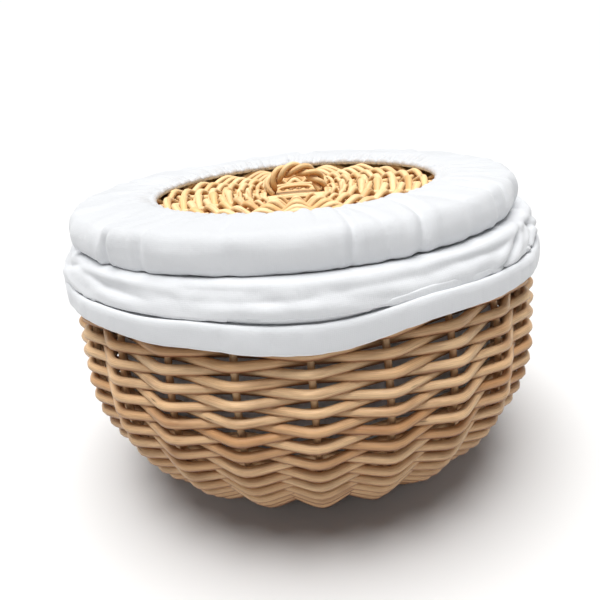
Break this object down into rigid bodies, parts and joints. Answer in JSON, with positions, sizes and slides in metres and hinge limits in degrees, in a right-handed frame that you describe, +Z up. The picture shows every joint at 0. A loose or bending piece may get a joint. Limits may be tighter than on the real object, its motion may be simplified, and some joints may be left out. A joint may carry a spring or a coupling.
{
  "type": "lined woven laundry basket",
  "caption": "Round woven willow laundry basket with a bowl-shaped wall, a cloth liner folded over the rim and a loose round lid with a cloth cover and a rope loop handle.",
  "frame": {"origin": "on the floor under the centre of the foot", "axes": "+Z up; +X along the arch of the lid's handle; -Y the front"},
  "size_m": [0.4232, 0.4232, 0.28],
  "materials": {
    "willow": "matt, smoked willow rods",
    "pale_willow": "matt, pale willow rods",
    "cotton": "plain woven cotton",
    "elastic": "matt"
  },
  "bodies": {
    "basket": {"base_centre_binding": "willow", "base_pierced_sticks": "willow", "base_split_sticks": "willow", "base_weave": "willow", "foot_wale": "willow", "rim_border": "willow", "siding_chase_01": "willow", "siding_chase_02": "willow", "siding_chase_03": "willow", "siding_chase_04": "willow", "siding_chase_05": "willow", "siding_chase_06": "willow", "siding_chase_07": "willow", "siding_chase_08": "willow", "siding_chase_09": "willow", "siding_chase_10": "willow", "siding_chase_11": "willow", "siding_chase_12": "willow", "siding_chase_13": "willow", "siding_chase_14": "willow", "siding_chase_15": "willow", "siding_chase_16": "willow", "siding_chase_17": "willow", "siding_chase_18": "willow", "siding_chase_19": "willow", "stakes": "willow"},
    "liner": {"liner_bottom": "cotton", "liner_brim": "cotton", "liner_cuff": "cotton", "liner_hem": "cotton", "liner_hem_elastic": "elastic", "liner_turn": "cotton", "liner_wall": "cotton"},
    "lid": {"handle_strand_1": "pale_willow", "handle_strand_2": "pale_willow", "handle_strand_3": "pale_willow", "lid_border": "pale_willow", "lid_centre_binding": "pale_willow", "lid_chase_01": "pale_willow", "lid_chase_02": "pale_willow", "lid_chase_03": "pale_willow", "lid_chase_04": "pale_willow", "lid_chase_05": "pale_willow", "lid_chase_06": "pale_willow", "lid_chase_07": "pale_willow", "lid_chase_08": "pale_willow", "lid_cover": "cotton", "lid_cover_opening_elastic": "elastic", "lid_cover_opening_hem": "cotton", "lid_cover_under_elastic": "elastic", "lid_cover_under_hem": "cotton", "lid_inner_chase_01": "pale_willow", "lid_inner_chase_02": "pale_willow", "lid_pierced_sticks": "pale_willow", "lid_split_sticks": "pale_willow"}
  },
  "joints": [
    {"name": "liner_lift", "type": "slide", "parent": "basket", "child": "liner", "axis": [0, 0, 1], "range_m": [0, 0.24]},
    {"name": "lid_lift", "type": "slide", "parent": "liner", "child": "lid", "axis": [0, 0, 1], "range_m": [0, 0.15]}
  ]
}
